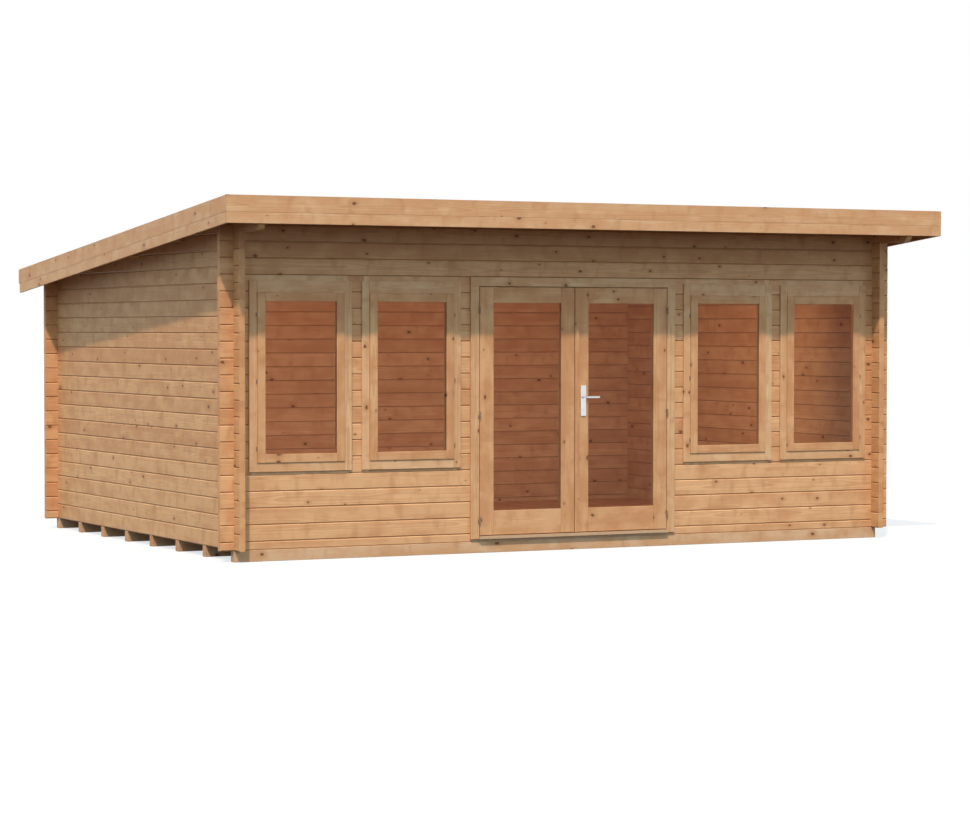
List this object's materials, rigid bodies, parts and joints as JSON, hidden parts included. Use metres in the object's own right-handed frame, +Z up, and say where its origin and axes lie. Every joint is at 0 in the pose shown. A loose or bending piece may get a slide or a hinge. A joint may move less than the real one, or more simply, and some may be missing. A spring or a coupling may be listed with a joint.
{
  "type": "log cabin",
  "caption": "Log cabin with a pent roof, interlocked log corners, glazed outward-opening double doors with a lever handle, and two tall windows on each side of them.",
  "frame": {"origin": "on the ground under the middle of the roof's outline", "axes": "+X to the right along the front, +Y from the front to the back, +Z up"},
  "size_m": [5.79, 4.479, 2.4906],
  "materials": {
    "log_wood": "planed spruce with a light tan stain",
    "joinery_wood": "planed spruce with a light tan stain",
    "fascia_wood": "planed spruce boards",
    "board_wood": "planed spruce boards",
    "bearer_wood": "sawn and treated",
    "roof_membrane": "matt sheet",
    "glass": "clear float glass",
    "handle_metal": "satin",
    "hinge_metal": "bronze painted",
    "threshold_metal": "bronze painted"
  },
  "bodies": {
    "cabin": {"bearers": "bearer_wood", "floor_deck": "board_wood", "left_wall": "log_wood", "right_wall": "log_wood", "left_top_logs": "log_wood", "right_top_logs": "log_wood", "back_wall": "log_wood", "front_sill_left": "log_wood", "front_sill_right": "log_wood", "front_corner_left": "log_wood", "front_corner_right": "log_wood", "front_posts": "log_wood", "front_header": "log_wood", "door_jamb_left": "joinery_wood", "door_jamb_right": "joinery_wood", "door_head": "joinery_wood", "door_threshold": "threshold_metal", "hinges_frame": "hinge_metal", "window_frame_1": "joinery_wood", "window_frame_2": "joinery_wood", "window_frame_3": "joinery_wood", "window_frame_4": "joinery_wood", "window_sash_1": "joinery_wood", "window_sash_2": "joinery_wood", "window_sash_3": "joinery_wood", "window_sash_4": "joinery_wood", "window_glass": "glass", "purlins": "board_wood", "roof_deck": "board_wood", "roof_covering": "roof_membrane", "fascia_front_upper": "fascia_wood", "fascia_front_lower": "fascia_wood", "fascia_back_upper": "fascia_wood", "fascia_left_upper": "fascia_wood", "fascia_left_lower": "fascia_wood", "fascia_right_upper": "fascia_wood", "fascia_right_lower": "fascia_wood"},
    "left_leaf": {"door_leaf_left": "joinery_wood", "door_glass_left": "glass", "hinges_leaf_left": "hinge_metal"},
    "right_leaf": {"door_leaf_right": "joinery_wood", "door_glass_right": "glass", "hinges_leaf_right": "hinge_metal", "handle_plates": "handle_metal"},
    "lever": {"door_lever": "handle_metal"}
  },
  "joints": [
    {"name": "left_door", "type": "hinge", "parent": "cabin", "child": "left_leaf", "pos_m": [-0.7745, -1.778, 0.08], "axis": [0, 0, -1], "range_deg": [0, 110]},
    {"name": "right_door", "type": "hinge", "parent": "cabin", "child": "right_leaf", "pos_m": [0.7745, -1.778, 0.08], "axis": [0, 0, 1], "range_deg": [0, 110]},
    {"name": "lever_turn", "type": "hinge", "parent": "right_leaf", "child": "lever", "pos_m": [0.0675, -1.7705, 1.106], "axis": [0, 1, 0], "range_deg": [0, 45], "stiffness_Nm_per_rad": 2, "springref_deg": -34.38}
  ]
}
